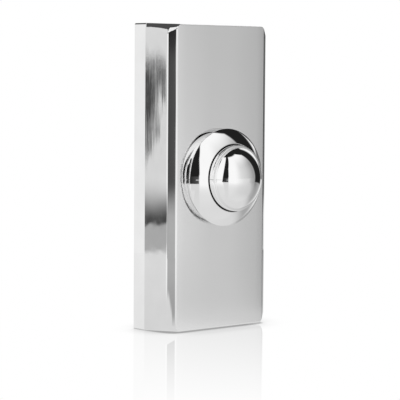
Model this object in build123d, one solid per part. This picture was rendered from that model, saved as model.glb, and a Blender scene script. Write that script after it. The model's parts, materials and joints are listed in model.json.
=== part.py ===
from build123d import *
from math import radians, sqrt, tan
import os

# Doorbell push button, surface mounted, in millimetres.
# Each piece is drawn on the wall: x to the right, y up, z out of the wall.
# The last step turns the wall upright, so that the finished model has +Z up,
# its front towards -Y and its back on the plane Y = 0.

# Cover
HOUSING_HEIGHT = 80.0
HOUSING_WIDTH = 35.0
HOUSING_DEPTH = 14.5
CASTING_DRAFT = 2.0
REAR_LAND = 4.4
REAR_CORNER = 0.5
BEVEL_CORNER = 3.1
FACE_CORNER = 1.5
CORNER_MARGIN = 0.02
BEVEL_WIDTH = 1.95
BEVEL_DEPTH = 1.6
BEVEL_ROUND = 0.6
END_ROUND = 0.35
SIDE_WALL = 2.0
FRONT_WALL = 2.0
CAVITY_CORNER = 1.2

# Bezel, with heights above the cover's front
BEZEL_RADIUS = 12.75
NECK_RADIUS = 11.75
RIM_HEIGHT = 2.1
RIM_THICKNESS = 0.35
RIM_ROUND = 0.14
MOUTH_HEIGHT = 5.12
MOUTH_GAP = 0.26
MOUTH_DEPTH = 1.2
MOUTH_CHAMFER = 0.12
CROWN_RADIUS = 17.0
SLEEVE_WALL = 1.35
SLEEVE_PROUD = 0.3

# Lock washer and nut behind the front wall
WASHER_THICK = 0.5
WASHER_WIDTH = 2.3
WASHER_TEETH = 10
TOOTH_GAP = 1.4
TOOTH_DEPTH = 0.8
NUT_THICK = 1.8
NUT_WALL = 2.2
NUT_CHAMFER = 0.4

# Button
BUTTON_RADIUS = 8.6
BUTTON_TRAVEL = 1.5
BUTTON_PROUD = 1.6
DOME_RADIUS = 9.4
DOME_STEP = 0.75
DOME_NECK = 0.4
SHOULDER_CHAMFER = 0.3
CAP_WALL = 1.5
BORE_POINT = 20.0
CAP_FLANGE = 0.9
CAP_FLANGE_LAP = 0.9

# Plunger, bridging disc and clip
PLUG_LENGTH = 5.0
TAIL_WALL = 0.8
TAIL_END = 0.85
PLUNGER_STEP = 1.2
DISC_THICK = 0.7
CLIP_THICK = 0.5
CLIP_WIDTH = 1.0
CLIP_TEETH = 6

# Return spring
SPRING_RADIUS = 2.4
SPRING_WIRE = 0.5
SPRING_TURNS = 5.0
WIRE_SIDES = 6
SPRING_PLAY = 0.25

# Base plate
PLATE_THICK = 2.0
PLATE_CORNER = 1.0
PLATE_RIM_WIDTH = 1.2
PLATE_RIM_HEIGHT = 1.0
PLATE_RIM_BREAK = 0.6
POST_LENGTH = 3.2
FIXING_SPACING = 58.0
FIXING_HOLE = 4.4
FIXING_BOSS = 8.4
CABLE_HOLE = 5.0
CABLE_DROP = 17.0
BOSS_WALL = 0.6
BOSS_HEIGHT = 0.8

# Contacts and terminals
STRIP_THICK = 0.7
STRIP_WIDTH = 6.0
CONTACT_RADIUS = 1.7
CONTACT_HEIGHT = 1.3
CONTACT_SHANK = 0.8
RIVET_DROP = 10.0
RIVET_RADIUS = 1.2
RIVET_HEAD_RADIUS = 2.0
RIVET_HEAD = 0.6
RIVET_CHAMFER = 0.35
RIVET_TAIL = 0.5
TERMINAL_DROP = 19.0
SCREW_RADIUS = 1.5
SCREW_LENGTH = 3.0
SCREW_HEAD_RADIUS = 2.7
SCREW_HEAD = 1.8
SCREW_HEAD_CHAMFER = 0.2
SLOT_WIDTH = 0.8
SLOT_DEPTH = 0.9
CLAMP_SIDE = 5.8
CLAMP_CORNER = 0.6
CLAMP_THICK = 0.7
COLLAR_RADIUS = 2.2
COLLAR_LENGTH = 1.2

# Hook at the top and locking screw at the bottom
HOOK_WIDTH = 10.0
HOOK_THICK = 1.6
HOOK_LAP = 1.0
RIB_THICK = 1.6
RIB_HEIGHT = 1.4
RIB_DEPTH = 2.8
LUG_WIDTH = 8.0
LUG_THICK = 2.0
PAD_HEIGHT = 1.4
COVER_SCREW_DEPTH = 6.0
COVER_SCREW_RECESS = 0.5
COVER_SCREW_POINT = 1.1
COVER_SCREW_REACH = 1.2
SOCKET_ACROSS = 1.5
SOCKET_DEPTH = 1.6

# Clearances
RUNNING_FIT = 0.05
THREAD_FIT = 0.02
LOOSE_FIT = 0.15
PLATE_GAP = 0.3
CATCH_GAP = 0.2
CONTACT_REST = 0.05
CLIP_TO_CONTACT = 0.5

# How far cutters run past a piece, and how closely edges are matched
OVERRUN = 1.0
MATCH = 1e-3

# Depths out of the wall, from the plate forwards
strip_front = PLATE_THICK + STRIP_THICK
contact_front = strip_front + CONTACT_HEIGHT
disc_back = contact_front + CONTACT_REST + BUTTON_TRAVEL
disc_front = disc_back + DISC_THICK
clip_back = disc_back - CLIP_THICK
tail_back = clip_back - TAIL_END

# Depths out of the wall, from the cover's front backwards
wall_back = HOUSING_DEPTH - FRONT_WALL
washer_back = wall_back - WASHER_THICK
nut_back = washer_back - NUT_THICK
sleeve_back = nut_back - SLEEVE_PROUD
cap_back = sleeve_back - CAP_FLANGE
mouth_front = HOUSING_DEPTH + MOUTH_HEIGHT
shoulder_front = mouth_front + BUTTON_PROUD
plug_front = cap_back + PLUG_LENGTH

# Radii about the button's axis
bore_radius = BUTTON_RADIUS + RUNNING_FIT
mouth_radius = BUTTON_RADIUS + MOUTH_GAP
sleeve_radius = bore_radius + SLEEVE_WALL
flange_radius = BUTTON_RADIUS + CAP_FLANGE_LAP
dome_base_radius = BUTTON_RADIUS - DOME_STEP
cap_bore_radius = dome_base_radius - CAP_WALL
spring_outer = SPRING_RADIUS + SPRING_WIRE / 2
spring_inner = SPRING_RADIUS - SPRING_WIRE / 2
spring_bore = spring_outer + SPRING_PLAY
tail_radius = spring_bore + TAIL_WALL
contact_offset = tail_radius + CLIP_WIDTH + CLIP_TO_CONTACT + CONTACT_RADIUS
disc_radius = contact_offset + CONTACT_RADIUS
spring_front = plug_front - CAP_WALL

# Half sizes of the cover's inside and of the plate in it
cavity_half_width = HOUSING_WIDTH / 2 - SIDE_WALL
cavity_half_height = HOUSING_HEIGHT / 2 - SIDE_WALL
plate_half_width = cavity_half_width - PLATE_GAP
plate_half_height = cavity_half_height - PLATE_GAP


def inset(depth):
    """How far the casting draft brings a wall in over a depth."""
    return depth * tan(radians(CASTING_DRAFT))


# Lower edge of the rib inside the top wall, and top of the pad inside the bottom wall
rib_low = cavity_half_height - inset(RIB_DEPTH) - RIB_HEIGHT
pad_top = -cavity_half_height + PAD_HEIGHT


def turned(outline):
    """Turns a closed outline of (radius, depth) about the button's axis."""
    return revolve(Plane.XZ * make_face(outline.edges()), Axis.Z)


def disc(radius, back, front, x=0.0, y=0.0):
    """A round disc or a cutter for a hole, from one depth to another."""
    return Pos(x, y, back) * extrude(Circle(radius), front - back)


def block(width, low, high, back, front):
    """A block on the centre line, from low to high and from back to front."""
    return Pos(0, (low + high) / 2, back) * extrude(Rectangle(width, high - low), front - back)


def upright(radius, depth, low, high):
    """A round bar along y at a depth out of the wall."""
    return Pos(0, low, depth) * Rot(-90, 0, 0) * extrude(Circle(radius), high - low)


def circles_at(part, radius, depth):
    """The round edges of a turned piece at a radius and depth."""
    edges = part.edges().filter_by(GeomType.CIRCLE)
    edges = edges.filter_by(lambda e: abs(e.radius - radius) < MATCH)
    return edges.filter_by(lambda e: abs(e.arc_center.Z - depth) < MATCH)


def profile(half, rounded_from, radius):
    """A section of the cover from the points of one half, with rounds on the corners in front of a depth."""
    other = [(-across, depth) for across, depth in reversed(half)]
    section = make_face(Polyline(*half, *other, close=True))
    return fillet(section.vertices().filter_by(lambda v: v.Y > rounded_from), radius)


def bevelled_block():
    """The cover's outside: a straight land, a drafted front with two long bevels, and round corners."""
    draft = inset(HOUSING_DEPTH - REAR_LAND)
    half_width = HOUSING_WIDTH / 2 - draft
    half_height = HOUSING_HEIGHT / 2 - draft
    bevel_back = HOUSING_DEPTH - BEVEL_DEPTH
    bevel_inset = inset(BEVEL_DEPTH)

    # The long edges of the front are cut at a slant, its short edges are only rounded.
    side = [
        (HOUSING_WIDTH / 2, 0),
        (HOUSING_WIDTH / 2, REAR_LAND),
        (half_width + bevel_inset, bevel_back),
        (half_width - BEVEL_WIDTH, HOUSING_DEPTH),
    ]
    end = [(HOUSING_HEIGHT / 2, 0), (HOUSING_HEIGHT / 2, REAR_LAND), (half_height, HOUSING_DEPTH)]
    from_above = Plane.XZ * profile(side, bevel_back - MATCH, BEVEL_ROUND)
    from_side = Plane.YZ * profile(end, bevel_back, END_ROUND)
    crossed = extrude(from_above, HOUSING_HEIGHT, both=True) & extrude(from_side, HOUSING_WIDTH, both=True)

    # A block stands a little outside both sections, so that only its rounded corners cut.
    outlines = [
        (-CORNER_MARGIN, HOUSING_WIDTH / 2, HOUSING_HEIGHT / 2, REAR_CORNER),
        (REAR_LAND, HOUSING_WIDTH / 2, HOUSING_HEIGHT / 2, REAR_CORNER),
        (bevel_back, half_width + bevel_inset, half_height + bevel_inset, BEVEL_CORNER),
        (HOUSING_DEPTH + CORNER_MARGIN, half_width - BEVEL_WIDTH, half_height, FACE_CORNER),
    ]
    sections = []
    for depth, half_across, half_up, radius in outlines:
        across, up = 2 * (half_across + CORNER_MARGIN), 2 * (half_up + CORNER_MARGIN)
        sections.append(Pos(0, 0, depth) * RectangleRounded(across, up, radius))
    return crossed & loft(sections, ruled=True)


def housing():
    """Cast cover, hollow from the back."""
    cover = bevelled_block()
    cavity = RectangleRounded(2 * cavity_half_width, 2 * cavity_half_height, CAVITY_CORNER)
    cover -= extrude(cavity, wall_back, taper=CASTING_DRAFT)
    cover -= disc(sleeve_radius + LOOSE_FIT, wall_back - OVERRUN, HOUSING_DEPTH + OVERRUN)

    # A rib inside the top wall for the hook, and a pad inside the bottom wall for the screw.
    in_wall = cavity_half_height + SIDE_WALL / 2
    cover += block(HOOK_WIDTH, rib_low, in_wall, RIB_DEPTH, RIB_DEPTH + RIB_THICK)
    pad_back = COVER_SCREW_DEPTH - LUG_WIDTH / 2
    pad_front = COVER_SCREW_DEPTH + LUG_WIDTH / 2
    cover += block(LUG_WIDTH, -in_wall, pad_top, pad_back, pad_front)
    return cover - upright(SCREW_RADIUS + THREAD_FIT, COVER_SCREW_DEPTH, -HOUSING_HEIGHT, pad_top + OVERRUN)


def bezel_ring():
    """Turned ring with a crowned conical face, a rim that stands over a neck, and a sleeve."""
    rim_front = HOUSING_DEPTH + RIM_HEIGHT
    rim_back = rim_front - RIM_THICKNESS
    step = mouth_front - MOUTH_DEPTH
    crown = RadiusArc((mouth_radius, mouth_front), (BEZEL_RADIUS, rim_front), CROWN_RADIUS)
    rest = Polyline(
        (BEZEL_RADIUS, rim_front),
        (BEZEL_RADIUS, rim_back),
        (NECK_RADIUS, rim_back),
        (NECK_RADIUS, HOUSING_DEPTH),
        (sleeve_radius, HOUSING_DEPTH),
        (sleeve_radius, sleeve_back),
        (bore_radius, sleeve_back),
        (bore_radius, step),
        (mouth_radius, step),
        (mouth_radius, mouth_front),
    )
    ring = turned(crown + rest)
    ring = fillet(circles_at(ring, BEZEL_RADIUS, rim_front), RIM_ROUND)
    return chamfer(circles_at(ring, mouth_radius, mouth_front), MOUTH_CHAMFER)


def bezel_washer():
    """Lock washer with teeth round its hole."""
    inner = sleeve_radius + LOOSE_FIT
    washer = disc(sleeve_radius + WASHER_WIDTH, washer_back, wall_back) - disc(inner, washer_back, wall_back)
    gap = extrude(Rectangle(2 * TOOTH_DEPTH, TOOTH_GAP), WASHER_THICK)
    return washer - Pos(0, 0, washer_back) * PolarLocations(inner, WASHER_TEETH) * gap


def ring_nut():
    """Thin hexagon nut on the bezel's sleeve, with flats to the sides."""
    across = 2 * (sleeve_radius + NUT_WALL)
    hexagon = RegularPolygon(across / 2, 6, major_radius=False, rotation=30)
    nut = Pos(0, 0, nut_back) * extrude(hexagon, NUT_THICK)
    corner_radius = across / sqrt(3)
    shape = disc(corner_radius, nut_back, washer_back)
    nut &= chamfer(shape.edges(), NUT_CHAMFER)
    return nut - disc(sleeve_radius + THREAD_FIT, nut_back, washer_back)


def button_cap():
    """Dome on a stepped shoulder and a skirt, drilled from the back, with a stop flange behind the bezel."""
    base_front = shoulder_front + DOME_NECK
    centre = base_front - sqrt(DOME_RADIUS**2 - dome_base_radius**2)
    crown = centre + DOME_RADIUS
    bore_tip = shoulder_front + cap_bore_radius * tan(radians(BORE_POINT))
    dome = RadiusArc((0, crown), (dome_base_radius, base_front), DOME_RADIUS)
    rest = Polyline(
        (dome_base_radius, base_front),
        (dome_base_radius, shoulder_front),
        (BUTTON_RADIUS, shoulder_front),
        (BUTTON_RADIUS, sleeve_back),
        (flange_radius, sleeve_back),
        (flange_radius, cap_back),
        (cap_bore_radius, cap_back),
        (cap_bore_radius, shoulder_front),
        (0, bore_tip),
        (0, crown),
    )
    cap = turned(dome + rest)
    return chamfer(circles_at(cap, BUTTON_RADIUS, shoulder_front), SHOULDER_CHAMFER)


def plunger():
    """Moulded plug in the cap, with a flange behind it, a tail for the disc and a bore for the spring."""
    plug_radius = cap_bore_radius - THREAD_FIT
    flange = cap_bore_radius + PLUNGER_STEP
    return turned(
        Polyline(
            (0, plug_front),
            (plug_radius, plug_front),
            (plug_radius, cap_back),
            (flange, cap_back),
            (flange, disc_front),
            (tail_radius, disc_front),
            (tail_radius, tail_back),
            (spring_bore, tail_back),
            (spring_bore, spring_front),
            (0, spring_front),
            close=True,
        )
    )


def bridge_disc():
    """Brass disc on the plunger's tail."""
    return disc(disc_radius, disc_back, disc_front) - disc(tail_radius + THREAD_FIT, disc_back, disc_front)


def retaining_clip():
    """Push-on ring whose teeth grip the plunger's tail."""
    inner = tail_radius + THREAD_FIT
    ring = disc(tail_radius + CLIP_WIDTH, clip_back, disc_back) - disc(inner, clip_back, disc_back)
    gap = extrude(Rectangle(CLIP_WIDTH, CLIP_WIDTH), CLIP_THICK)
    return ring - Pos(0, 0, clip_back) * PolarLocations(inner, CLIP_TEETH) * gap


def return_spring():
    """Coil spring between the plate and the plunger."""
    length = spring_front - PLATE_THICK - SPRING_WIRE
    path = Helix(length / SPRING_TURNS, length, SPRING_RADIUS, center=(0, 0, PLATE_THICK + SPRING_WIRE / 2))
    wire = RegularPolygon(SPRING_WIRE / 2, WIRE_SIDES)
    return sweep(Plane(path @ 0, z_dir=path % 0) * wire, path, is_frenet=True)


def base_plate():
    """Moulded plate with a rim, spring post, screw and cable holes, a hook above and a lug below."""
    outline = RectangleRounded(2 * plate_half_width, 2 * plate_half_height, PLATE_CORNER)
    inner = Rectangle(2 * (plate_half_width - PLATE_RIM_WIDTH), 2 * (plate_half_height - PLATE_RIM_WIDTH))
    rim = Pos(0, 0, PLATE_THICK) * extrude(outline - inner, PLATE_RIM_HEIGHT)
    # The rim stops short of the cover's rib at the top and of its screw pad at the bottom.
    rim_front = PLATE_THICK + PLATE_RIM_HEIGHT
    rim -= block(HOOK_WIDTH + 2 * PLATE_RIM_BREAK, 0, HOUSING_HEIGHT, PLATE_THICK, rim_front)
    rim -= block(LUG_WIDTH + 2 * PLATE_RIM_BREAK, -HOUSING_HEIGHT, 0, PLATE_THICK, rim_front)
    plate = extrude(outline, PLATE_THICK) + rim
    plate += disc(spring_inner - SPRING_PLAY, PLATE_THICK, PLATE_THICK + POST_LENGTH)
    boss_front = PLATE_THICK + BOSS_HEIGHT
    plate += disc(CABLE_HOLE / 2 + BOSS_WALL, PLATE_THICK, boss_front, y=-CABLE_DROP)
    for y in (-FIXING_SPACING / 2, FIXING_SPACING / 2):
        plate += disc(FIXING_BOSS / 2, PLATE_THICK, boss_front, y=y)

    # The hook's lip stands in front of the cover's rib.
    lip_back = RIB_DEPTH + RIB_THICK + CATCH_GAP
    post_top = rib_low - CATCH_GAP
    plate += block(HOOK_WIDTH, post_top - HOOK_THICK, post_top, PLATE_THICK, lip_back + HOOK_THICK)
    plate += block(HOOK_WIDTH, post_top - HOOK_THICK, rib_low + HOOK_LAP, lip_back, lip_back + HOOK_THICK)

    # The lug takes the point of the cover's screw.
    lug_low = pad_top + CATCH_GAP
    lug_front = COVER_SCREW_DEPTH + LUG_WIDTH / 2
    plate += block(LUG_WIDTH, lug_low, lug_low + LUG_THICK, PLATE_THICK, lug_front)
    plate -= upright(COVER_SCREW_POINT + LOOSE_FIT, COVER_SCREW_DEPTH, lug_low, lug_low + LUG_THICK)

    for y in (-FIXING_SPACING / 2, FIXING_SPACING / 2):
        plate -= disc(FIXING_HOLE / 2, -OVERRUN, HOUSING_DEPTH, y=y)
    plate -= disc(CABLE_HOLE / 2, -OVERRUN, HOUSING_DEPTH, y=-CABLE_DROP)
    for x in (-contact_offset, contact_offset):
        plate -= disc(COLLAR_RADIUS + LOOSE_FIT, -OVERRUN, boss_front, x, -TERMINAL_DROP)
        plate -= disc(RIVET_RADIUS + THREAD_FIT, -OVERRUN, boss_front, x, -RIVET_DROP)
        plate -= disc(RIVET_HEAD_RADIUS + LOOSE_FIT, -OVERRUN, RIVET_TAIL, x, -RIVET_DROP)
    return plate


def contact_strip(x):
    """Brass strip from the contact at the top to a tapped collar at the terminal."""
    middle = -TERMINAL_DROP / 2
    outline = Pos(x, middle) * SlotCenterToCenter(TERMINAL_DROP, STRIP_WIDTH, rotation=90)
    strip = Pos(0, 0, PLATE_THICK) * extrude(outline, STRIP_THICK)
    strip += disc(COLLAR_RADIUS, PLATE_THICK - COLLAR_LENGTH, strip_front, x, -TERMINAL_DROP)
    strip -= disc(SCREW_RADIUS + THREAD_FIT, -OVERRUN, strip_front, x, -TERMINAL_DROP)
    strip -= disc(RIVET_RADIUS + THREAD_FIT, PLATE_THICK, strip_front, x, -RIVET_DROP)
    return strip - disc(CONTACT_SHANK + THREAD_FIT, PLATE_THICK, strip_front, x)


def contact_tip(x):
    """Contact rivet with a low dome, its shank through the strip."""
    head = CONTACT_HEIGHT / 2
    swell = CONTACT_RADIUS**2 / (2 * (CONTACT_HEIGHT - head)) + (CONTACT_HEIGHT - head) / 2
    dome = RadiusArc((0, contact_front), (CONTACT_RADIUS, strip_front + head), swell)
    rest = Polyline(
        (CONTACT_RADIUS, strip_front + head),
        (CONTACT_RADIUS, strip_front),
        (CONTACT_SHANK, strip_front),
        (CONTACT_SHANK, PLATE_THICK),
        (0, PLATE_THICK),
        (0, contact_front),
    )
    return Pos(x, 0, 0) * turned(dome + rest)


def strip_rivet(x):
    """Rivet through the strip and the plate, its tail set in a pocket at the back."""
    rivet = disc(RIVET_HEAD_RADIUS, strip_front, strip_front + RIVET_HEAD, x, -RIVET_DROP)
    rivet = chamfer(rivet.faces().sort_by(Axis.Z)[-1].edges(), RIVET_CHAMFER)
    rivet += disc(RIVET_RADIUS, 0, strip_front, x, -RIVET_DROP)
    return rivet + disc(RIVET_HEAD_RADIUS, 0, RIVET_TAIL, x, -RIVET_DROP)


def clamp_washer(x):
    """Square washer that clamps a wire on the strip."""
    square = RectangleRounded(CLAMP_SIDE, CLAMP_SIDE, CLAMP_CORNER)
    washer = Pos(x, -TERMINAL_DROP, strip_front) * extrude(square, CLAMP_THICK)
    return washer - disc(SCREW_RADIUS + LOOSE_FIT, strip_front, strip_front + CLAMP_THICK, x, -TERMINAL_DROP)


def terminal_screw(x):
    """Slotted cheese-head screw in the strip's collar."""
    seat = strip_front + CLAMP_THICK
    head = disc(SCREW_HEAD_RADIUS, seat, seat + SCREW_HEAD, x, -TERMINAL_DROP)
    head = chamfer(head.faces().sort_by(Axis.Z)[-1].edges(), SCREW_HEAD_CHAMFER)
    screw = head + disc(SCREW_RADIUS, seat - SCREW_LENGTH, seat, x, -TERMINAL_DROP)
    slot = extrude(Rectangle(2 * (SCREW_HEAD_RADIUS + OVERRUN), SLOT_WIDTH), SLOT_DEPTH)
    return screw - Pos(x, -TERMINAL_DROP, seat + SCREW_HEAD - SLOT_DEPTH) * slot


def cover_screw():
    """Grub screw in the cover's lower wall, its point in the plate's lug."""
    outer = -HOUSING_HEIGHT / 2 + inset(COVER_SCREW_DEPTH - REAR_LAND) + COVER_SCREW_RECESS
    screw = upright(SCREW_RADIUS, COVER_SCREW_DEPTH, outer, pad_top)
    screw += upright(COVER_SCREW_POINT, COVER_SCREW_DEPTH, pad_top, pad_top + CATCH_GAP + COVER_SCREW_REACH)
    socket = extrude(RegularPolygon(SOCKET_ACROSS / 2, 6, major_radius=False), SOCKET_DEPTH)
    return screw - Pos(0, outer, COVER_SCREW_DEPTH) * Rot(-90, 0, 0) * socket


def pieces():
    """Every piece of the push by its name."""
    made = {
        "housing": housing(),
        "bezel_ring": bezel_ring(),
        "bezel_washer": bezel_washer(),
        "ring_nut": ring_nut(),
        "button_cap": button_cap(),
        "plunger": plunger(),
        "bridge_disc": bridge_disc(),
        "retaining_clip": retaining_clip(),
        "return_spring": return_spring(),
        "base_plate": base_plate(),
        "cover_screw": cover_screw(),
    }
    for side, x in (("left", -contact_offset), ("right", contact_offset)):
        made[f"contact_strip_{side}"] = contact_strip(x)
        made[f"contact_tip_{side}"] = contact_tip(x)
        made[f"strip_rivet_{side}"] = strip_rivet(x)
        made[f"clamp_washer_{side}"] = clamp_washer(x)
        made[f"terminal_screw_{side}"] = terminal_screw(x)
    return made


# The wall upright: its x stays, its y becomes +Z and its outward z becomes -Y.
upright_wall = Plane(origin=(0, 0, 0), x_dir=(1, 0, 0), z_dir=(0, -1, 0))

os.makedirs("parts", exist_ok=True)
for name, piece in pieces().items():
    export_step(upright_wall * piece, f"parts/{name}.step")
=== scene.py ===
import json
from math import acos, atan2, cos, pi, radians, sin, sqrt, tan

import bmesh
import bpy
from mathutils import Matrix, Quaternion, Vector


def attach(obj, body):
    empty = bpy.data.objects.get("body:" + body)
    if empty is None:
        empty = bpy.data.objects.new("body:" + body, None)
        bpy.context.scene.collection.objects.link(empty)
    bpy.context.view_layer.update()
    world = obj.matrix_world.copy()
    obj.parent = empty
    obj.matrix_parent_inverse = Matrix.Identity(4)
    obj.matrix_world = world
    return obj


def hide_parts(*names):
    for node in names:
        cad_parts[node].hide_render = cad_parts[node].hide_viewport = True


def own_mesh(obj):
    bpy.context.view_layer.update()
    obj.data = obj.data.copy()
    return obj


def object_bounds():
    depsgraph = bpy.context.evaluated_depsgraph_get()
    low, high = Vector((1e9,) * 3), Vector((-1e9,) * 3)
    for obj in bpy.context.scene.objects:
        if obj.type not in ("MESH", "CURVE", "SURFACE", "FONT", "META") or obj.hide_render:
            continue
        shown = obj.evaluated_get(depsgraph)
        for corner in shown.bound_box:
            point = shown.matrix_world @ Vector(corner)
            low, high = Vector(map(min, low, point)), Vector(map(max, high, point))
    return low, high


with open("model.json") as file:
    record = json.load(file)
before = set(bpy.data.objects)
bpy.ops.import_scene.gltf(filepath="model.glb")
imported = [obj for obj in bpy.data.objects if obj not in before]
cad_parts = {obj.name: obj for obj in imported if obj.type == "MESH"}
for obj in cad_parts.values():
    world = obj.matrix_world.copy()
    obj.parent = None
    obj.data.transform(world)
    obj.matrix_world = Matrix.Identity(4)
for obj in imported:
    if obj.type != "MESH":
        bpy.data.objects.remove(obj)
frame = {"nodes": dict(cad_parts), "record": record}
cad_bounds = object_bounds()

# Sizes in millimetres, as in the CAD model. Depths are measured out of the wall.
MM = 0.001
HOUSING_DEPTH = 14.5
HALF_WIDTH = 17.5
REAR_LAND = 4.4
BEVEL_MIDDLE = 16.225
BEVEL_WIDTH = 1.95
RIM_RADIUS = 12.75
RIM_FRONT = 16.6
RIM_BACK = 16.25
NECK_RADIUS = 11.75
CROWN_RADIUS = 17.0
MOUTH_RADIUS = 8.86
MOUTH_FRONT = 19.62
MOUTH_BACK = 18.42
SLEEVE_RADIUS = 10.0
SLEEVE_BACK = 9.9
BORE_RADIUS = 8.65
BUTTON_RADIUS = 8.6
SHOULDER_FRONT = 21.22
DOME_BASE_RADIUS = 7.85
DOME_BASE_FRONT = 21.62
DOME_RADIUS = 9.4
FLANGE_RADIUS = 9.5
CAP_BACK = 9.0
CAP_BORE_RADIUS = 6.35
CAP_BORE_POINT = radians(20)
SPRING_RADIUS = 2.4
SPRING_WIRE = 0.5
SPRING_BACK = 2.0
SPRING_FRONT = 12.5
SPRING_TURNS = 5.0

# Rounds of the turned pieces: radius in millimetres and number of steps
MOUTH_ROUND = (0.12, 5)
RIM_ROUND = (0.14, 8)
RIM_BREAK = (0.06, 3)
DOME_ROUND = (0.1, 4)
DOME_FILLET = (0.08, 4)
SHOULDER_ROUND = (0.35, 8)

# Fineness of the meshes
LATHE_STEPS = 192
CROWN_STEPS = 20
DOME_STEPS = 48
SPRING_SIDES = 14
SPRING_TURN_STEPS = 40
TABLE_STEPS = 96
CREASE = radians(30)
SPRING_CREASE = radians(50)
ON_AXIS = 1e-6

# Camera, fitted to the outline in the photograph
CAMERA_PLACE = Vector((-0.31942, -0.36841, 0.02787))
CAMERA_AZIMUTH = radians(41.413)
CAMERA_TILT = radians(4.073)
CAMERA_ROLL = radians(0.374)
CAMERA_LENS = 163.93
SENSOR_WIDTH = 36.0
CLIP_START = 0.01

# Noise patterns: cycles a metre, stretch along the axes, and detail
EVEN = (1, 1, 1)
CLOUDS = (160, EVEN, 3)
POLISH = (420, EVEN, 4)
SATIN = (900, EVEN, 3)
WAVES = (130, (1, 1, 0.5), 1)
STREAKS = (1700, (1, 1, 0.05), 3)
TURNING = (300, EVEN, 1)
TARNISH = (700, EVEN, 4)
METAL_GRAIN = (2600, EVEN, 3)
FLOW_MARKS = (300, (1, 1, 0.4), 3)
MOULD_GRAIN = (5200, EVEN, 2)

# Levels of a noise pattern between which a finish changes, and depths of bumps in metres
LEVELS = (0.3, 0.7)
POLISH_LEVELS = (0.35, 0.75)
TARNISH_LEVELS = (0.3, 0.65)
WAVE_DEPTH = 2.5e-5
STREAK_DEPTH = 1.2e-6
TURNING_DEPTH = 2e-6
METAL_GRAIN_DEPTH = 2e-6

# Greys and roughnesses of the chrome, from lowest to highest
COVER_GREYS = (0.86, 0.90)
BRIGHT_GREYS = (0.93, 0.95)
COVER_POLISH = (0.015, 0.04)
COVER_SATIN = (0.16, 0.20)
BRIGHT_POLISH = (0.025, 0.06)

# Where the chrome changes, in millimetres from none of a finish to all of it, and the greys there.
# The front is satin and painted paler with painted light, but polished beside and over the bezel's neck, and
# darkened in a line under it by painted shade.
FRONT_DEPTHS = (14.40, 14.48)
# Painted light: the front's grey is raised to make the front face brighter.
FRONT_PAINTED_LIGHT_GREY = 0.98
FRONT_PAINTED_LIGHT_SHARE = 0.8
SATIN_RADII = (13.0, 13.8)
SATIN_HEIGHTS = (-5.0, -8.0)
# Painted shade: a darker line on the front under the bezel's neck, mostly on its lower side.
CREVICE_SHADE_RADII = (12.0, 11.8)
CREVICE_SHADE_HEIGHTS = (2.0, -6.0)
CREVICE_SHADE_GREY = 0.6
# Painted shade: the bezel is darkened within its mouth, at the gap around the button.
MOUTH_SHADE_RADII = (MOUTH_RADIUS + 0.06, MOUTH_RADIUS + 0.02)
MOUTH_SHADE_DEPTHS = (MOUTH_FRONT - 0.1, MOUTH_FRONT - 0.2)
MOUTH_SHADE_GREY = 0.10

# Slight curves of the cover by bump. A roll-off is its start in millimetres and its bend per metre.
FRONT_FALL = (4.0, 2.0)
FRONT_EDGE_FALL = (12.5, 9.0)
SIDE_TOP_FALL = (38.6, 200.0)
SIDE_DEPTHS = (4.5, 4.7)
BEVEL_DEPTHS = (12.8, 12.9)
BEVEL_CROWN = 0.012
BEVEL_ROUND = 0.24
BEVEL_ROUND_FALL = (0.0, 180.0)

# Other metals: colour and roughness. The tarnish is a darker share of the colour.
METALS = {
    "contact_brass": ((0.74, 0.55, 0.26), 0.28),
    "nut_brass": ((0.70, 0.53, 0.27), 0.30),
    "contact_silver": ((0.82, 0.81, 0.78), 0.25),
    "plated_steel": ((0.66, 0.66, 0.65), 0.30),
    "spring_steel": ((0.50, 0.50, 0.51), 0.32),
}
METAL_TARNISH = 0.82
METAL_GLOSS = (0.8, 1.25)

# Plastics: colour, roughness and depth of the grain in metres
PLASTICS = {
    "plunger_plastic": ((0.84, 0.81, 0.74), 0.30, 2e-6),
    "base_plastic": ((0.030, 0.030, 0.032), 0.50, 8e-6),
}
PLASTIC_SHADE = 0.8
PLASTIC_GLOSS = (0.85, 1.15)

# Light of the studio by azimuth in degrees, 0 in front of the button and positive to the left:
# of the table close to the part, of its far end, and of the walls over it
NEAR_LIGHT = (
    (-180, 0.74), (-115, 0.74), (-82, 0.45), (-66, 0.42), (-50, 0.50), (-40, 0.64), (-8, 0.68), (15, 0.76),
    (180, 0.74),
)
TABLE_LIGHT = (
    (-180, 1.0), (-138, 1.0), (-127, 0.72), (-100, 0.70), (-62, 0.34), (-46, 0.50), (-37, 0.69), (-28, 0.73),
    (-18, 0.78), (-8, 0.87), (8, 1.0), (110, 1.0), (133, 0.76), (137.5, 0.76), (139.5, 0.93), (180, 0.95),
)
WALL_LIGHT = (
    (-180, 1.0), (-115, 1.0), (-100, 0.8), (-58, 0.33), (-47, 0.46), (-30, 0.62), (-8, 0.76), (6, 0.96),
    (12, 1.0), (110, 1.0), (133, 0.76), (137.5, 0.76), (139.5, 0.93), (180, 0.95),
)
HORIZON = (-3, 0)
WALLS_WHITEN = (28, 66)

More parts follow.
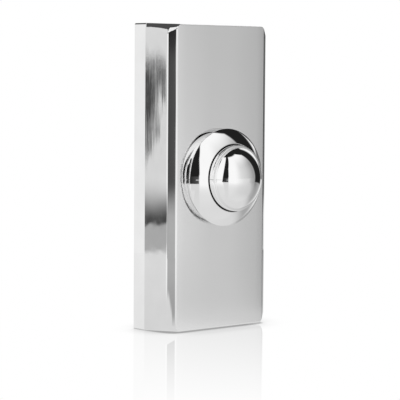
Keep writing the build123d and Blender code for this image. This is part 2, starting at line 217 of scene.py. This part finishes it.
# Dark places in the studio: azimuths and elevations where each starts, is full, is full to and ends
ZENITH = (90, 91)
RIGHT_SIDE = ((-108, -100, -68, -62), (-12, -8, *ZENITH))
FAR_RIGHT = ((-128, -125, -108, -104), (-4.6, -3.6, 6, 10))
REAR_LEFT = ((135.5, 138.5, 181, 182), (9, 12, *ZENITH))
REAR_RIGHT = ((-182, -181, -139.5, -136), (11, 15, *ZENITH))
TALL_THING = ((135.70, 135.82, 138.2, 138.8), (-3.0, -2.5, 0.15, 0.45))
LEFT_BEHIND = (54, 56, 138.2, 138.8)
LOW_BAND = (LEFT_BEHIND, (-4.95, -4.8, -4.75, -3.4))
SHELF = (LEFT_BEHIND, (-5.75, -5.65, -4.95, -4.8))
GAP_FOOT = ((33.0, 33.8, 39.4, 40.4), (-6.3, -6.0, -4.8, -3.4))
FAR_RIGHT_GREY = 0.16
RIGHT_AND_TOP_GREY = 0.015
REAR_GREY = 0.075
SHELF_GREY = 0.44
THINGS_GREY = 0.07
GAP_FOOT_GREY = 0.46

# Changes in the studio in degrees: from, to, and the values at both.
# The open top comes down at the right. The tall thing leans, is ragged and paler at its edge.
TOP_START = 70.0
TOP_LOWERS = (-45, -75, 0.0, 24.0)
TOP_SOFTNESS = 2.5
TALL_LEAN = (-1.0, -2.7, 0.0, 0.36)
TALL_EDGE = (135.92, 136.12, 0.76, 1.0)
FRINGE_SCALE = 14.0
FRINGE_DETAIL = 3.0
FRINGE_REACH = 0.45
LOW_FAINT = (60, 110, 0.4, 1.0)

# The gap where the camera looks in: its sides, how they lean, and its greys from right to left
GAP_RIGHT = 33.5
GAP_RIGHT_LEAN = (30, 65, 0.0, 5.5)
GAP_RIGHT_FOOT = (5, 1, 0.0, 0.8)
GAP_LEFT = 52.5
GAP_LEFT_LEAN = 0.13
GAP_SOFTNESS = 1
GAP_SPAN = (34, 52)
GAP_GREYS = ((0.0, 0.09), (0.5, 0.05), (1.0, 0.012))
GAP_UPPER = (0.2, 1.6)
GAP_UPPER_GREY = 0.014

# Table under the part, in metres and degrees. Its shadows are a reach in millimetres and a change.
FLOOR = cad_bounds[0].z
TABLE_RADIUS = 0.21
TABLE_GLOSS = 0.04
TABLE_IOR = 1.45
MIRROR_CENTRE = (0, -0.007, 0)
MIRROR_FADE = (0.018, 0.125, 0.30, 0.0)
SHADOWS = ((14, (0.25, 0.9, 0.5, 1.0)), (2, (0.45, 0.75, 0.5, 1.0)))
SHADOW_SAMPLES = 16
UNDER_GREY = 0.74
NEAR_START = (0.03, 0.06)
FAR_START = (0.06, 0.2)
LAND_EDGE = (-HALF_WIDTH * MM, -REAR_LAND * MM, 0.0)
BEHIND_LAND = (137, 139.5)
BEHIND_LAND_GREY = 0.88
FRONT_CORNER = (-16.2 * MM, -13.7 * MM, 0.0)
CORNER_START = (35.2, 38.2, 0.0, 0.06)
CORNER_CLEAR = (0.005, 0.04)


# Mesh helpers

def mesh_object(name, vertices, faces, crease=CREASE):
    """A smooth-shaded mesh from points in metres, sharp where faces meet at more than the crease angle."""
    mesh = bpy.data.meshes.new(name)
    mesh.from_pydata(vertices, [], faces)
    bm = bmesh.new()
    bm.from_mesh(mesh)
    bmesh.ops.recalc_face_normals(bm, faces=bm.faces)
    bm.to_mesh(mesh)
    bm.free()
    mesh.shade_smooth()
    mesh.set_sharp_from_angle(angle=crease)
    piece = bpy.data.objects.new(name, mesh)
    bpy.context.scene.collection.objects.link(piece)
    return piece


def arc(start, end, radius, steps):
    """Points of an outward-bulging arc between two (radius, depth) points."""
    (r0, t0), (r1, t1) = start, end
    length = sqrt((r1 - r0) ** 2 + (t1 - t0) ** 2)
    away = sqrt(radius**2 - length**2 / 4) / length
    centre_r = (r0 + r1) / 2 + (t1 - t0) * away
    centre_t = (t0 + t1) / 2 - (r1 - r0) * away
    first = atan2(t0 - centre_t, r0 - centre_r)
    last = atan2(t1 - centre_t, r1 - centre_r)
    turn = (last - first) / steps
    angles = [first + turn * i for i in range(steps + 1)]
    return [(centre_r + radius * cos(a), centre_t + radius * sin(a)) for a in angles]


def rounded(before, corner, after, size):
    """Points of a round, given as (radius, steps), at a corner of a profile."""
    radius, steps = size
    here = Vector(corner)
    to_before = (Vector(before) - here).normalized()
    to_after = (Vector(after) - here).normalized()
    half = acos(max(-1.0, min(1.0, to_before.dot(to_after)))) / 2
    centre = here + (to_before + to_after).normalized() * (radius / sin(half))
    first = here + to_before * (radius / tan(half)) - centre
    last = here + to_after * (radius / tan(half)) - centre
    start = atan2(first.y, first.x)
    sweep = atan2(last.y, last.x) - start
    sweep = (sweep + pi) % (2 * pi) - pi
    angles = [start + sweep * i / steps for i in range(steps + 1)]
    return [(centre.x + radius * cos(a), centre.y + radius * sin(a)) for a in angles]


def lathe(name, profile, loop=False):
    """Turns a profile of (radius, depth) in millimetres about the button's axis."""
    vertices, rings = [], []
    for r, t in profile:
        count = LATHE_STEPS if r > ON_AXIS else 1
        turns = [2 * pi * i / count for i in range(count)]
        rings.append([len(vertices) + i for i in range(count)])
        vertices += [(r * cos(a) * MM, -t * MM, r * sin(a) * MM) for a in turns]
    faces = []
    pairs = list(zip(rings, rings[1:])) + ([(rings[-1], rings[0])] if loop else [])
    for a, b in pairs:
        for i in range(LATHE_STEPS):
            j = (i + 1) % LATHE_STEPS
            if len(a) == 1:
                faces.append((a[0], b[j], b[i]))
            elif len(b) == 1:
                faces.append((a[i], a[j], b[0]))
            else:
                faces.append((a[i], a[j], b[j], b[i]))
    return mesh_object(name, vertices, faces)


# Pieces made here

def make_bezel():
    """The bezel with round edges, turned finely enough to mirror cleanly."""
    mouth = (MOUTH_RADIUS, MOUTH_FRONT)
    rim = (RIM_RADIUS, RIM_FRONT)
    under = (RIM_RADIUS, RIM_BACK)
    neck = (NECK_RADIUS, RIM_BACK)
    step = (MOUTH_RADIUS, MOUTH_BACK)
    crown = arc(mouth, rim, CROWN_RADIUS, CROWN_STEPS)
    profile = rounded(step, mouth, crown[1], MOUTH_ROUND)
    profile += crown[1:-1]
    profile += rounded(crown[-2], rim, under, RIM_ROUND)
    profile += rounded(rim, under, neck, RIM_BREAK)
    profile += [
        neck,
        (NECK_RADIUS, HOUSING_DEPTH),
        (SLEEVE_RADIUS, HOUSING_DEPTH),
        (SLEEVE_RADIUS, SLEEVE_BACK),
        (BORE_RADIUS, SLEEVE_BACK),
        (BORE_RADIUS, MOUTH_BACK),
        step,
    ]
    return lathe("bezel", profile, loop=True)


def make_cap():
    """The button's cap with round edges."""
    rise = sqrt(DOME_RADIUS**2 - DOME_BASE_RADIUS**2)
    crown = (0.0, DOME_BASE_FRONT - rise + DOME_RADIUS)
    edge = (DOME_BASE_RADIUS, DOME_BASE_FRONT)
    neck = (DOME_BASE_RADIUS, SHOULDER_FRONT)
    shoulder = (BUTTON_RADIUS, SHOULDER_FRONT)
    skirt = (BUTTON_RADIUS, SLEEVE_BACK)
    dome = arc(crown, edge, DOME_RADIUS, DOME_STEPS)
    profile = [crown] + dome[1:-1]
    profile += rounded(dome[-2], edge, neck, DOME_ROUND)
    profile += rounded(edge, neck, shoulder, DOME_FILLET)
    profile += rounded(neck, shoulder, skirt, SHOULDER_ROUND)
    profile += [
        skirt,
        (FLANGE_RADIUS, SLEEVE_BACK),
        (FLANGE_RADIUS, CAP_BACK),
        (CAP_BORE_RADIUS, CAP_BACK),
        (CAP_BORE_RADIUS, SHOULDER_FRONT),
        (0.0, SHOULDER_FRONT + CAP_BORE_RADIUS * tan(CAP_BORE_POINT)),
    ]
    return lathe("button", profile)


def make_spring():
    """The return spring as a round wire wound between the plate and the plunger."""
    wire = SPRING_WIRE / 2
    low, high = SPRING_BACK + wire, SPRING_FRONT - wire
    sides = SPRING_SIDES
    count = int(SPRING_TURNS * SPRING_TURN_STEPS)
    vertices, faces = [], []
    for i in range(count + 1):
        share = i / count
        turn = 2 * pi * SPRING_TURNS * share
        out = Vector((cos(turn), 0, sin(turn)))
        centre = out * SPRING_RADIUS - Vector((0, low + (high - low) * share, 0))
        for k in range(sides):
            around = 2 * pi * k / sides
            point = centre + out * (wire * cos(around)) + Vector((0, wire * sin(around), 0))
            vertices.append(point * MM)
    for i in range(count):
        for k in range(sides):
            a, b = i * sides + k, i * sides + (k + 1) % sides
            faces.append((a, b, b + sides, a + sides))
    faces.append(tuple(range(sides)))
    faces.append(tuple(count * sides + k for k in range(sides)))
    return mesh_object("spring", vertices, faces, SPRING_CREASE)


# Shader helpers

def add(tree, kind, inputs=None, **settings):
    """A shader node with its settings and inputs; an input that is a socket is linked."""
    made = tree.nodes.new(kind)
    for key, value in settings.items():
        setattr(made, key, value)
    for key, value in (inputs or {}).items():
        if isinstance(value, bpy.types.NodeSocket):
            tree.links.new(value, made.inputs[key])
        else:
            made.inputs[key].default_value = value
    return made


def calc(tree, operation, *values):
    """One arithmetic step on numbers or sockets."""
    return add(tree, "ShaderNodeMath", dict(enumerate(values)), operation=operation).outputs[0]


def product(tree, first, *others):
    """The product of numbers or sockets."""
    result = first
    for other in others:
        result = calc(tree, "MULTIPLY", result, other)
    return result


def vector_calc(tree, operation, *values):
    """One step on vectors, with its outputs Vector and Value."""
    return add(tree, "ShaderNodeVectorMath", dict(enumerate(values)), operation=operation).outputs


def fade(tree, value, low, high, start=0.0, end=1.0, curve="SMOOTHSTEP"):
    """A smooth change from start to end while the value goes from low to high."""
    inputs = {"Value": value, "From Min": low, "From Max": high, "To Min": start, "To Max": end}
    return add(tree, "ShaderNodeMapRange", inputs, interpolation_type=curve).outputs[0]


def fade_straight(tree, value, low, high, start=0.0, end=1.0):
    """A straight change from start to end while the value goes from low to high."""
    return fade(tree, value, low, high, start, end, "LINEAR")


def fade_mm(tree, value, span):
    """A smooth change from 0 to 1 over a span in millimetres."""
    low, high = span
    return fade(tree, value, low * MM, high * MM)


def mix(tree, share, first, second):
    """A mix of two colours, each a socket or a grey."""
    # A mix node's colours are its inputs 6 and 7 and its output 2, and its numbers are 2, 3 and 0.
    colours = [c if isinstance(c, bpy.types.NodeSocket) else (c, c, c, 1.0) for c in (first, second)]
    inputs = {0: share, 6: colours[0], 7: colours[1]}
    return add(tree, "ShaderNodeMix", inputs, data_type="RGBA").outputs[2]


def mix_numbers(tree, share, first, second):
    """A mix of two numbers."""
    return add(tree, "ShaderNodeMix", {0: share, 2: first, 3: second}).outputs[0]


def noise(tree, pattern):
    """A noise pattern in the part's own coordinates."""
    scale, stretch, detail = pattern
    coords = add(tree, "ShaderNodeTexCoord").outputs["Object"]
    mapped = add(tree, "ShaderNodeMapping", {"Vector": coords, "Scale": stretch}).outputs[0]
    inputs = {"Vector": mapped, "Scale": scale, "Detail": detail}
    return add(tree, "ShaderNodeTexNoise", inputs).outputs["Fac"]


def ramp(tree, value, stops):
    """A colour ramp through (place, grey or colour) stops. New elements start in its middle."""
    node = add(tree, "ShaderNodeValToRGB", {"Fac": value})
    elements = node.color_ramp.elements
    while len(elements) < len(stops):
        elements.new(0.5)
    for element, (place, colour) in zip(elements, stops):
        element.position = place
        rgb = colour if isinstance(colour, tuple) else (colour, colour, colour)
        element.color = (*rgb, 1.0)
    return node.outputs["Color"]


def cloudy(tree, pattern, levels, colours):
    """A change between two colours or greys that follows a noise pattern."""
    return ramp(tree, noise(tree, pattern), tuple(zip(levels, colours)))


def place_on_part(tree):
    """Places on the part in metres: across, out of the wall, up, and away from the button's axis."""
    place = add(tree, "ShaderNodeTexCoord").outputs["Object"]
    across, back, up = add(tree, "ShaderNodeSeparateXYZ", {0: place}).outputs
    depth = calc(tree, "MULTIPLY", back, -1.0)
    flat = vector_calc(tree, "MULTIPLY", place, (1, 0, 1))["Vector"]
    away = vector_calc(tree, "LENGTH", flat)["Value"]
    return across, depth, up, away


def roll_off(tree, distance, start, bend):
    """The height of a surface that falls away in a parabola from where the distance passes the start."""
    beyond = calc(tree, "MAXIMUM", calc(tree, "SUBTRACT", distance, start * MM), 0.0)
    return product(tree, beyond, beyond, -bend)


def bumps(tree, layers):
    """Bump layers of (height, depth in metres), one on top of the other."""
    normal = None
    for height, depth in layers:
        inputs = {"Height": height, "Distance": depth, "Strength": 1.0}
        if normal is not None:
            inputs["Normal"] = normal
        normal = add(tree, "ShaderNodeBump", inputs).outputs["Normal"]
    return normal


def material(name, metallic):
    """A new material with only a Principled shader and an output."""
    made = bpy.data.materials.new(name)
    made.use_nodes = True
    tree = made.node_tree
    tree.nodes.clear()
    shader = add(tree, "ShaderNodeBsdfPrincipled", {"Metallic": metallic})
    add(tree, "ShaderNodeOutputMaterial", {"Surface": shader.outputs[0]})
    return made, tree, shader


def connect(tree, shader, colour, rough, normal):
    """Links a colour, a roughness and a bump to a shader."""
    tree.links.new(colour, shader.inputs["Base Color"])
    tree.links.new(rough, shader.inputs["Roughness"])
    tree.links.new(normal, shader.inputs["Normal"])


# Materials

def cover_chrome(name):
    """The cover's chrome: a satin front painted paler with painted light, a line of painted shade under the
    bezel's neck, and mirror sides with slow waves and upright streaks.
    """
    made, tree, shader = material(name, 1.0)
    across, depth, up, away = place_on_part(tree)
    front = fade_mm(tree, depth, FRONT_DEPTHS)
    others = calc(tree, "SUBTRACT", 1.0, front)

    # Painted shade: the mask of the darker line under the bezel's neck.
    crevice_shade = product(tree, fade_mm(tree, away, CREVICE_SHADE_RADII), front, fade_mm(tree, up, CREVICE_SHADE_HEIGHTS))
    colour = cloudy(tree, CLOUDS, LEVELS, COVER_GREYS)
    # Painted light: the front face is mixed towards a paler grey to brighten it.
    colour = mix(tree, product(tree, front, FRONT_PAINTED_LIGHT_SHARE), colour, FRONT_PAINTED_LIGHT_GREY)
    # Painted shade darkens the line under the bezel's neck.
    colour = mix(tree, crevice_shade, colour, CREVICE_SHADE_GREY)

    polish = fade(tree, noise(tree, POLISH), *POLISH_LEVELS, *COVER_POLISH)
    satin = fade(tree, noise(tree, SATIN), *LEVELS, *COVER_SATIN)
    beyond = calc(tree, "MAXIMUM", fade_mm(tree, away, SATIN_RADII), fade_mm(tree, up, SATIN_HEIGHTS))
    rough = mix_numbers(tree, product(tree, front, beyond), polish, satin)

    curves = cover_curves(tree, across, depth, up, others)
    waves = product(tree, noise(tree, WAVES), others)
    streaks = noise(tree, STREAKS)
    normal = bumps(tree, [(curves, 1.0), (waves, WAVE_DEPTH), (streaks, STREAK_DEPTH)])
    connect(tree, shader, colour, rough, normal)
    return made


def cover_curves(tree, across, depth, up, others):
    """Heights in metres of the slight curves of the cover's front, of its sides' tops and of its bevels."""
    beside = calc(tree, "ABSOLUTE", across)
    front_edge = (BEVEL_MIDDLE - BEVEL_WIDTH / 2) * MM
    within = calc(tree, "MINIMUM", beside, front_edge)
    front = calc(tree, "ADD", roll_off(tree, within, *FRONT_FALL), roll_off(tree, within, *FRONT_EDGE_FALL))
    top = product(tree, roll_off(tree, up, *SIDE_TOP_FALL), others, fade_mm(tree, depth, SIDE_DEPTHS))

    # A bevel is crowned a little, and round where it meets the front.
    slope = calc(tree, "DIVIDE", calc(tree, "SUBTRACT", beside, BEVEL_MIDDLE * MM), BEVEL_WIDTH / 2 * MM)
    crown = calc(tree, "MAXIMUM", calc(tree, "SUBTRACT", 1.0, product(tree, slope, slope)), 0.0)
    inward = calc(tree, "SUBTRACT", front_edge + BEVEL_ROUND * MM, beside)
    inward = calc(tree, "MINIMUM", inward, BEVEL_ROUND * MM)
    edge = roll_off(tree, inward, *BEVEL_ROUND_FALL)
    bevel = calc(tree, "ADD", product(tree, crown, BEVEL_CROWN * MM), edge)
    bevel = product(tree, bevel, fade_mm(tree, depth, BEVEL_DEPTHS))
    return calc(tree, "ADD", calc(tree, "ADD", front, top), bevel)


def chrome(name, bezel=False):
    """Bright turned chrome, a little cloudy. A bezel is darkened within its mouth by painted shade."""
    made, tree, shader = material(name, 1.0)
    colour = cloudy(tree, CLOUDS, LEVELS, BRIGHT_GREYS)
    if bezel:
        _, depth, _, away = place_on_part(tree)
        # Painted shade darkens the bezel within its mouth.
        mouth_shade = product(tree, fade_mm(tree, away, MOUTH_SHADE_RADII), fade_mm(tree, depth, MOUTH_SHADE_DEPTHS))
        colour = mix(tree, mouth_shade, colour, MOUTH_SHADE_GREY)
    rough = fade(tree, noise(tree, POLISH), *POLISH_LEVELS, *BRIGHT_POLISH)
    connect(tree, shader, colour, rough, bumps(tree, [(noise(tree, TURNING), TURNING_DEPTH)]))
    return made


def metal(name, colour, rough):
    """Plain metal with a fine grain and some tarnish."""
    made, tree, shader = material(name, 1.0)
    dark = tuple(METAL_TARNISH * c for c in colour)
    tint = cloudy(tree, TARNISH, TARNISH_LEVELS, (dark, colour))
    grain = noise(tree, METAL_GRAIN)
    gloss = fade(tree, grain, *LEVELS, *(rough * share for share in METAL_GLOSS))
    connect(tree, shader, tint, gloss, bumps(tree, [(grain, METAL_GRAIN_DEPTH)]))
    return made


def plastic(name, colour, rough, depth):
    """Moulded plastic with a fine grain and slight flow marks."""
    made, tree, shader = material(name, 0.0)
    dark = tuple(PLASTIC_SHADE * c for c in colour)
    tint = cloudy(tree, FLOW_MARKS, LEVELS, (dark, colour))
    gloss = fade(tree, noise(tree, SATIN), *LEVELS, *(rough * share for share in PLASTIC_GLOSS))
    connect(tree, shader, tint, gloss, bumps(tree, [(noise(tree, MOULD_GRAIN), depth)]))
    return made


def dress(node, finish):
    """Gives a CAD node a finish."""
    piece = frame["nodes"][node]
    piece.data.materials.clear()
    piece.data.materials.append(finish)


# Studio

def azimuth(tree, offset):
    """The azimuth of an offset in degrees, 0 in front of the button and positive to the left."""
    x, y, _ = add(tree, "ShaderNodeSeparateXYZ", {0: offset}).outputs
    left = calc(tree, "MULTIPLY", x, -1.0)
    ahead = calc(tree, "MULTIPLY", y, -1.0)
    return calc(tree, "DEGREES", calc(tree, "ARCTAN2", left, ahead))


def elevation(tree, way):
    """The elevation of a direction in degrees."""
    rise = add(tree, "ShaderNodeSeparateXYZ", {0: way}).outputs["Z"]
    return calc(tree, "DEGREES", calc(tree, "ARCSINE", rise))


def by_azimuth(tree, side, lights):
    """A grey that follows a list of lights by azimuth in degrees."""
    share = fade_straight(tree, side, -180, 180)
    return ramp(tree, share, [((turn + 180) / 360, light) for turn, light in lights])


def window(tree, value, span):
    """A mask that follows a span: where it starts, is full, is full to and ends."""
    start, full, full_to, end = span
    return product(tree, fade(tree, value, start, full), fade(tree, value, end, full_to))


def patch(tree, side, height, spans):
    """A soft-edged patch of directions, from its spans of azimuth and elevation."""
    across, up = spans
    return product(tree, window(tree, side, across), window(tree, height, up))


def make_walls(tree, side, height):
    """Light of the table's far end and of the walls over it, which whiten upwards."""
    table = by_azimuth(tree, side, TABLE_LIGHT)
    walls = by_azimuth(tree, side, WALL_LIGHT)
    low = mix(tree, fade(tree, height, *HORIZON), table, walls)
    return mix(tree, fade(tree, height, *WALLS_WHITEN), low, 1.0)


def with_dark_places(tree, side, height, room):
    """The room with dark places at the right and high up behind, and an open top."""
    top_start = calc(tree, "SUBTRACT", TOP_START, fade_straight(tree, side, *TOP_LOWERS))
    top = fade(tree, calc(tree, "SUBTRACT", height, top_start), -TOP_SOFTNESS, TOP_SOFTNESS)
    right = patch(tree, side, height, RIGHT_SIDE)
    rear_left = patch(tree, side, height, REAR_LEFT)
    rear_right = patch(tree, side, height, REAR_RIGHT)
    room = mix(tree, patch(tree, side, height, FAR_RIGHT), room, FAR_RIGHT_GREY)
    room = mix(tree, calc(tree, "MAXIMUM", right, top), room, RIGHT_AND_TOP_GREY)
    return mix(tree, calc(tree, "MAXIMUM", rear_left, rear_right), room, REAR_GREY)


def with_low_things(tree, side, height, room):
    """The room with low things behind at the left, which the cover's side mirrors."""
    lean = calc(tree, "SUBTRACT", side, fade_straight(tree, height, *TALL_LEAN))
    inputs = {"W": side, "Scale": FRINGE_SCALE, "Detail": FRINGE_DETAIL}
    fringe = add(tree, "ShaderNodeTexNoise", inputs, noise_dimensions="1D").outputs["Fac"]
    ragged = calc(tree, "ADD", height, fade_straight(tree, fringe, *LEVELS, -FRINGE_REACH, FRINGE_REACH))
    tall = product(tree, patch(tree, lean, ragged, TALL_THING), fade(tree, lean, *TALL_EDGE))
    faint = fade(tree, side, *LOW_FAINT)
    band = product(tree, patch(tree, side, height, LOW_BAND), faint)
    shelf = product(tree, patch(tree, side, height, SHELF), faint)
    room = mix(tree, shelf, room, SHELF_GREY)
    return mix(tree, calc(tree, "MAXIMUM", tall, band), room, THINGS_GREY)


def with_camera_gap(tree, side, height, room):
    """The room with the dark gap where the camera looks in, pale at its foot."""
    right = calc(tree, "SUBTRACT", GAP_RIGHT, fade_straight(tree, height, *GAP_RIGHT_LEAN))
    right = calc(tree, "ADD", right, fade(tree, height, *GAP_RIGHT_FOOT))
    left = calc(tree, "SUBTRACT", GAP_LEFT, product(tree, height, GAP_LEFT_LEAN))
    past_right = fade(tree, calc(tree, "SUBTRACT", side, right), -GAP_SOFTNESS, GAP_SOFTNESS)
    before_left = fade(tree, calc(tree, "SUBTRACT", left, side), -GAP_SOFTNESS, GAP_SOFTNESS)
    grey = ramp(tree, fade_straight(tree, side, *GAP_SPAN), GAP_GREYS)
    grey = mix(tree, fade(tree, height, *GAP_UPPER), grey, GAP_UPPER_GREY)
    grey = mix(tree, patch(tree, side, height, GAP_FOOT), grey, GAP_FOOT_GREY)
    return mix(tree, product(tree, past_right, before_left), room, grey)


def make_world():
    """A white studio with dark places for everything but the camera, which sees plain white."""
    world = bpy.data.worlds.new("studio")
    bpy.context.scene.world = world
    world.use_nodes = True
    tree = world.node_tree
    tree.nodes.clear()
    way = add(tree, "ShaderNodeTexCoord").outputs["Generated"]
    side = azimuth(tree, way)
    height = elevation(tree, way)
    room = make_walls(tree, side, height)
    room = with_dark_places(tree, side, height, room)
    room = with_low_things(tree, side, height, room)
    room = with_camera_gap(tree, side, height, room)
    camera = add(tree, "ShaderNodeLightPath").outputs["Is Camera Ray"]
    colour = mix(tree, camera, room, 1.0)
    light = add(tree, "ShaderNodeBackground", {"Color": colour, "Strength": 1.0})
    add(tree, "ShaderNodeOutputWorld", {"Surface": light.outputs[0]})


def shadow(tree, reach, change):
    """The part's soft shadow on the table, from how open the table is within a reach in millimetres."""
    opening = add(tree, "ShaderNodeAmbientOcclusion", {"Distance": reach * MM}, samples=SHADOW_SAMPLES)
    return fade(tree, opening.outputs["AO"], *change)


def glow(tree, colour):
    """An even light of a colour."""
    return add(tree, "ShaderNodeEmission", {"Color": colour, "Strength": 1.0}).outputs[0]


def mix_shaders(tree, share, first, second):
    """A mix of two shaders."""
    return add(tree, "ShaderNodeMixShader", {0: share, 1: first, 2: second}).outputs[0]


def table_light(tree, flat, away):
    """The grey of the table as the part mirrors it."""
    side = azimuth(tree, flat)
    near = mix(tree, fade(tree, away, *NEAR_START), UNDER_GREY, by_azimuth(tree, side, NEAR_LIGHT))
    grey = mix(tree, fade(tree, away, *FAR_START), near, by_azimuth(tree, side, TABLE_LIGHT))
    behind = azimuth(tree, vector_calc(tree, "SUBTRACT", flat, LAND_EDGE)["Vector"])
    return mix(tree, fade(tree, behind, *BEHIND_LAND), grey, BEHIND_LAND_GREY)


def table_gloss(tree, flat):
    """How much the table mirrors: less near the cover's near corner, least of all on its left."""
    offset = vector_calc(tree, "SUBTRACT", flat, FRONT_CORNER)["Vector"]
    distance = vector_calc(tree, "LENGTH", offset)["Value"]
    start = fade_straight(tree, azimuth(tree, offset), *CORNER_START)
    clear = fade(tree, calc(tree, "SUBTRACT", distance, start), *CORNER_CLEAR)
    return product(tree, add(tree, "ShaderNodeFresnel", {"IOR": TABLE_IOR}).outputs[0], clear)


def make_table():
    """A pale, slightly glossy table that mirrors the part close to it and is plain white further out."""
    turns = [2 * pi * i / TABLE_STEPS for i in range(TABLE_STEPS)]
    edge = [(TABLE_RADIUS * cos(a), TABLE_RADIUS * sin(a), FLOOR) for a in turns]
    table = mesh_object("table", edge, [tuple(range(TABLE_STEPS))])
    made = bpy.data.materials.new("table")
    made.use_nodes = True
    tree = made.node_tree
    tree.nodes.clear()
    coords = add(tree, "ShaderNodeTexCoord").outputs["Object"]
    flat = vector_calc(tree, "MULTIPLY", coords, (1, 1, 0))["Vector"]
    away = vector_calc(tree, "DISTANCE", flat, MIRROR_CENTRE)["Value"]
    gloss = add(tree, "ShaderNodeBsdfGlossy", {"Color": (1, 1, 1, 1), "Roughness": TABLE_GLOSS}).outputs[0]

    shade = product(tree, *(shadow(tree, reach, change) for reach, change in SHADOWS))
    seen = mix_shaders(tree, fade_straight(tree, away, *MIRROR_FADE), glow(tree, shade), gloss)
    mirrored = mix_shaders(tree, table_gloss(tree, flat), glow(tree, table_light(tree, flat, away)), gloss)
    camera = add(tree, "ShaderNodeLightPath").outputs["Is Camera Ray"]
    both = mix_shaders(tree, camera, mirrored, seen)
    add(tree, "ShaderNodeOutputMaterial", {"Surface": both})
    table.data.materials.append(made)


def make_camera():
    """The camera at the photograph's viewing angle."""
    data = bpy.data.cameras.new("camera")
    data.lens = CAMERA_LENS
    data.sensor_width = SENSOR_WIDTH
    data.clip_start = CLIP_START
    camera = bpy.data.objects.new("camera", data)
    bpy.context.scene.collection.objects.link(camera)
    level = cos(CAMERA_TILT)
    look = Vector((sin(CAMERA_AZIMUTH) * level, cos(CAMERA_AZIMUTH) * level, -sin(CAMERA_TILT)))
    camera.rotation_mode = "QUATERNION"
    camera.rotation_quaternion = Quaternion(look, -CAMERA_ROLL) @ look.to_track_quat("-Z", "Y")
    camera.location = CAMERA_PLACE
    bpy.context.scene.camera = camera


# Finishes of the CAD nodes, by the slots in the record

finishes = {
    "housing_chrome": cover_chrome("housing_chrome"),
    "bezel_chrome": chrome("bezel_chrome", bezel=True),
    "button_chrome": chrome("button_chrome"),
}
for name, look in METALS.items():
    finishes[name] = metal(name, *look)
for name, look in PLASTICS.items():
    finishes[name] = plastic(name, *look)
for part in frame["record"]["subparts"]:
    dress(part["node"], finishes[part["material_slot"]])

# Pieces that take the place of CAD nodes

bezel = make_bezel()
bezel.data.materials.append(finishes["bezel_chrome"])
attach(bezel, "body")
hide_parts("bezel_ring")

cap = make_cap()
cap.data.materials.append(finishes["button_chrome"])
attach(cap, "button")
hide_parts("button_cap")

spring = make_spring()
spring.data.materials.append(finishes["spring_steel"])
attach(spring, "body")
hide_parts("return_spring")
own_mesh(spring)

make_world()
make_table()
make_camera()
bpy.context.scene.view_settings.view_transform = "Standard"
